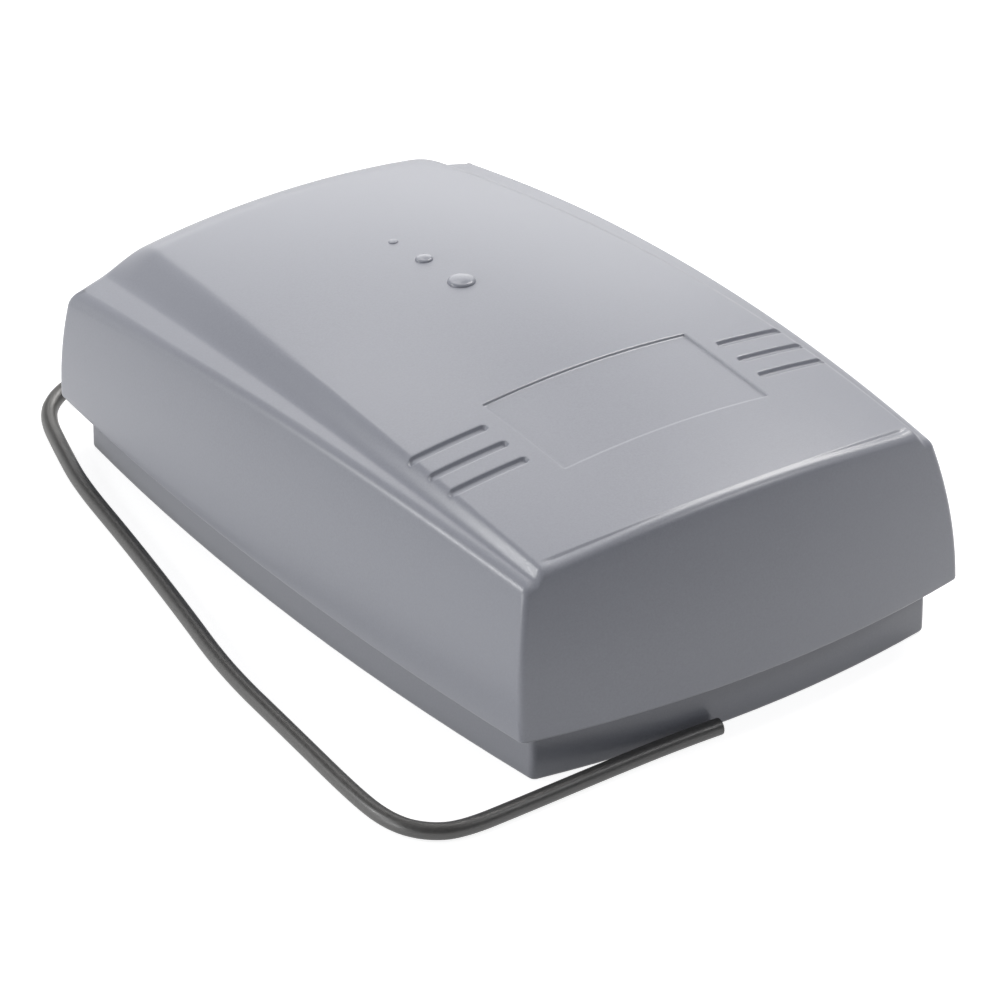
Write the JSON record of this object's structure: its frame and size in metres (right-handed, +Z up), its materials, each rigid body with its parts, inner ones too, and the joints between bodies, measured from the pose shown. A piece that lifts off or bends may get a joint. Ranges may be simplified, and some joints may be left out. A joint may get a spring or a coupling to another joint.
{
  "type": "radio receiver",
  "caption": "Gate and light radio receiver in a grey snap-fit case with a crowned, shouldered cover, a wire aerial, relays and screw terminals on a board.",
  "frame": {"origin": "middle of the case's underside, on the surface it stands on", "axes": "+Z up out of the cover, +Y along the case towards the rear wall where the wires leave, +X across it"},
  "size_m": [0.0863, 0.1167, 0.0336],
  "materials": {
    "case_grey": "fine satin",
    "black_rubber": "matte",
    "wire_black": "satin",
    "copper": "bright",
    "board_green": "satin lacquer",
    "steel_zinc": "bright zinc",
    "tinned": "satin",
    "relay_black": "satin",
    "terminal_green": "satin",
    "module_board": "satin lacquer",
    "chip_black": "matte",
    "header_black": "matte",
    "capacitor_sleeve": "gloss",
    "varistor_blue": "satin",
    "fuse_glass": "clear",
    "switch_black": "matte",
    "button_black": "satin",
    "led_red": "gloss",
    "dip_red": "gloss",
    "knob_white": "satin",
    "trimmer_blue": "gloss",
    "ceramic_tan": "matte"
  },
  "bodies": {
    "base": {"base_tray": "case_grey", "aerial_grommet": "black_rubber", "cable_grommet": "black_rubber", "aerial_wire": "wire_black", "aerial_lead": "wire_black", "aerial_core": "copper", "circuit_board": "board_green", "board_screws": "steel_zinc", "relay_1": "relay_black", "relay_2": "relay_black", "relay_pins": "tinned", "power_terminal_block": "terminal_green", "aerial_terminal_block": "terminal_green", "terminal_pins": "tinned", "radio_module_board": "module_board", "radio_module_can": "tinned", "module_header": "header_black", "module_pins": "tinned", "microcontroller": "chip_black", "memory_chip": "chip_black", "chip_legs": "tinned", "crystal": "tinned", "capacitor_large": "capacitor_sleeve", "capacitor_small": "capacitor_sleeve", "rectifier": "chip_black", "voltage_regulator": "chip_black", "varistor": "varistor_blue", "fuse_clips": "tinned", "fuse_glass": "fuse_glass", "fuse_caps": "tinned", "learn_switch_bodies": "switch_black", "indicator_leds": "led_red", "dip_switch_body": "dip_red", "trimmer_body": "trimmer_blue", "resistors": "chip_black", "chip_capacitors": "ceramic_tan", "transistors": "chip_black"},
    "cover": {"top_cover": "case_grey", "cover_snap_hooks": "case_grey"},
    "learn_button_1": {"learn_button_1": "button_black"},
    "learn_button_2": {"learn_button_2": "button_black"},
    "dip_slider_1": {"dip_slider_1": "knob_white"},
    "dip_slider_2": {"dip_slider_2": "knob_white"},
    "trimmer_rotor": {"trimmer_rotor": "knob_white"},
    "terminal_screw_1": {"terminal_screw_1": "steel_zinc"},
    "clamp_cage_1": {"clamp_cage_1": "tinned"},
    "terminal_screw_2": {"terminal_screw_2": "steel_zinc"},
    "clamp_cage_2": {"clamp_cage_2": "tinned"},
    "terminal_screw_3": {"terminal_screw_3": "steel_zinc"},
    "clamp_cage_3": {"clamp_cage_3": "tinned"},
    "terminal_screw_4": {"terminal_screw_4": "steel_zinc"},
    "clamp_cage_4": {"clamp_cage_4": "tinned"},
    "terminal_screw_5": {"terminal_screw_5": "steel_zinc"},
    "clamp_cage_5": {"clamp_cage_5": "tinned"},
    "terminal_screw_6": {"terminal_screw_6": "steel_zinc"},
    "clamp_cage_6": {"clamp_cage_6": "tinned"},
    "terminal_screw_7": {"terminal_screw_7": "steel_zinc"},
    "clamp_cage_7": {"clamp_cage_7": "tinned"},
    "terminal_screw_8": {"terminal_screw_8": "steel_zinc"},
    "clamp_cage_8": {"clamp_cage_8": "tinned"}
  },
  "joints": [
    {"name": "cover_lift", "type": "slide", "parent": "base", "child": "cover", "axis": [0, 0, 1], "range_m": [0, 0.04], "deforming": ["cover_snap_hooks"]},
    {"name": "learn_button_1_press", "type": "slide", "parent": "base", "child": "learn_button_1", "axis": [0, 0, -1], "range_m": [0, 0.00025], "stiffness_N_per_m": 2000, "springref_m": -0.0005},
    {"name": "learn_button_2_press", "type": "slide", "parent": "base", "child": "learn_button_2", "axis": [0, 0, -1], "range_m": [0, 0.00025], "stiffness_N_per_m": 2000, "springref_m": -0.0005},
    {"name": "dip_slider_1_slide", "type": "slide", "parent": "base", "child": "dip_slider_1", "axis": [0, 1, 0], "range_m": [0, 0.0012]},
    {"name": "dip_slider_2_slide", "type": "slide", "parent": "base", "child": "dip_slider_2", "axis": [0, 1, 0], "range_m": [0, 0.0012]},
    {"name": "trimmer_turn", "type": "hinge", "parent": "base", "child": "trimmer_rotor", "pos_m": [0.013, -0.033, 0.0094], "axis": [0, 0, 1], "range_deg": [-130, 130]},
    {"name": "terminal_screw_1_turn", "type": "hinge", "parent": "base", "child": "terminal_screw_1", "pos_m": [-0.0073, 0.0362, 0.014], "axis": [0, 0, 1], "range_deg": [0, 810]},
    {"name": "clamp_cage_1_slide", "type": "slide", "parent": "base", "child": "clamp_cage_1", "axis": [0, 0, 1], "range_m": [-0.00112, 0]},
    {"name": "terminal_screw_2_turn", "type": "hinge", "parent": "base", "child": "terminal_screw_2", "pos_m": [-0.0023, 0.0362, 0.014], "axis": [0, 0, 1], "range_deg": [0, 810]},
    {"name": "clamp_cage_2_slide", "type": "slide", "parent": "base", "child": "clamp_cage_2", "axis": [0, 0, 1], "range_m": [-0.00112, 0]},
    {"name": "terminal_screw_3_turn", "type": "hinge", "parent": "base", "child": "terminal_screw_3", "pos_m": [0.0027, 0.0362, 0.014], "axis": [0, 0, 1], "range_deg": [0, 810]},
    {"name": "clamp_cage_3_slide", "type": "slide", "parent": "base", "child": "clamp_cage_3", "axis": [0, 0, 1], "range_m": [-0.00112, 0]},
    {"name": "terminal_screw_4_turn", "type": "hinge", "parent": "base", "child": "terminal_screw_4", "pos_m": [0.0077, 0.0362, 0.014], "axis": [0, 0, 1], "range_deg": [0, 810]},
    {"name": "clamp_cage_4_slide", "type": "slide", "parent": "base", "child": "clamp_cage_4", "axis": [0, 0, 1], "range_m": [-0.00112, 0]},
    {"name": "terminal_screw_5_turn", "type": "hinge", "parent": "base", "child": "terminal_screw_5", "pos_m": [0.0127, 0.0362, 0.014], "axis": [0, 0, 1], "range_deg": [0, 810]},
    {"name": "clamp_cage_5_slide", "type": "slide", "parent": "base", "child": "clamp_cage_5", "axis": [0, 0, 1], "range_m": [-0.00112, 0]},
    {"name": "terminal_screw_6_turn", "type": "hinge", "parent": "base", "child": "terminal_screw_6", "pos_m": [0.0177, 0.0362, 0.014], "axis": [0, 0, 1], "range_deg": [0, 810]},
    {"name": "clamp_cage_6_slide", "type": "slide", "parent": "base", "child": "clamp_cage_6", "axis": [0, 0, 1], "range_m": [-0.00112, 0]},
    {"name": "terminal_screw_7_turn", "type": "hinge", "parent": "base", "child": "terminal_screw_7", "pos_m": [-0.0176, 0.0362, 0.014], "axis": [0, 0, 1], "range_deg": [0, 810]},
    {"name": "clamp_cage_7_slide", "type": "slide", "parent": "base", "child": "clamp_cage_7", "axis": [0, 0, 1], "range_m": [-0.00112, 0]},
    {"name": "terminal_screw_8_turn", "type": "hinge", "parent": "base", "child": "terminal_screw_8", "pos_m": [-0.0126, 0.0362, 0.014], "axis": [0, 0, 1], "range_deg": [0, 810]},
    {"name": "clamp_cage_8_slide", "type": "slide", "parent": "base", "child": "clamp_cage_8", "axis": [0, 0, 1], "range_m": [-0.00112, 0]}
  ],
  "couplings": [
    {"joint": "terminal_screw_1_turn", "follows": "clamp_cage_1_slide", "rad_per_m": -12566},
    {"joint": "terminal_screw_2_turn", "follows": "clamp_cage_2_slide", "rad_per_m": -12566},
    {"joint": "terminal_screw_3_turn", "follows": "clamp_cage_3_slide", "rad_per_m": -12566},
    {"joint": "terminal_screw_4_turn", "follows": "clamp_cage_4_slide", "rad_per_m": -12566},
    {"joint": "terminal_screw_5_turn", "follows": "clamp_cage_5_slide", "rad_per_m": -12566},
    {"joint": "terminal_screw_6_turn", "follows": "clamp_cage_6_slide", "rad_per_m": -12566},
    {"joint": "terminal_screw_7_turn", "follows": "clamp_cage_7_slide", "rad_per_m": -12566},
    {"joint": "terminal_screw_8_turn", "follows": "clamp_cage_8_slide", "rad_per_m": -12566}
  ]
}
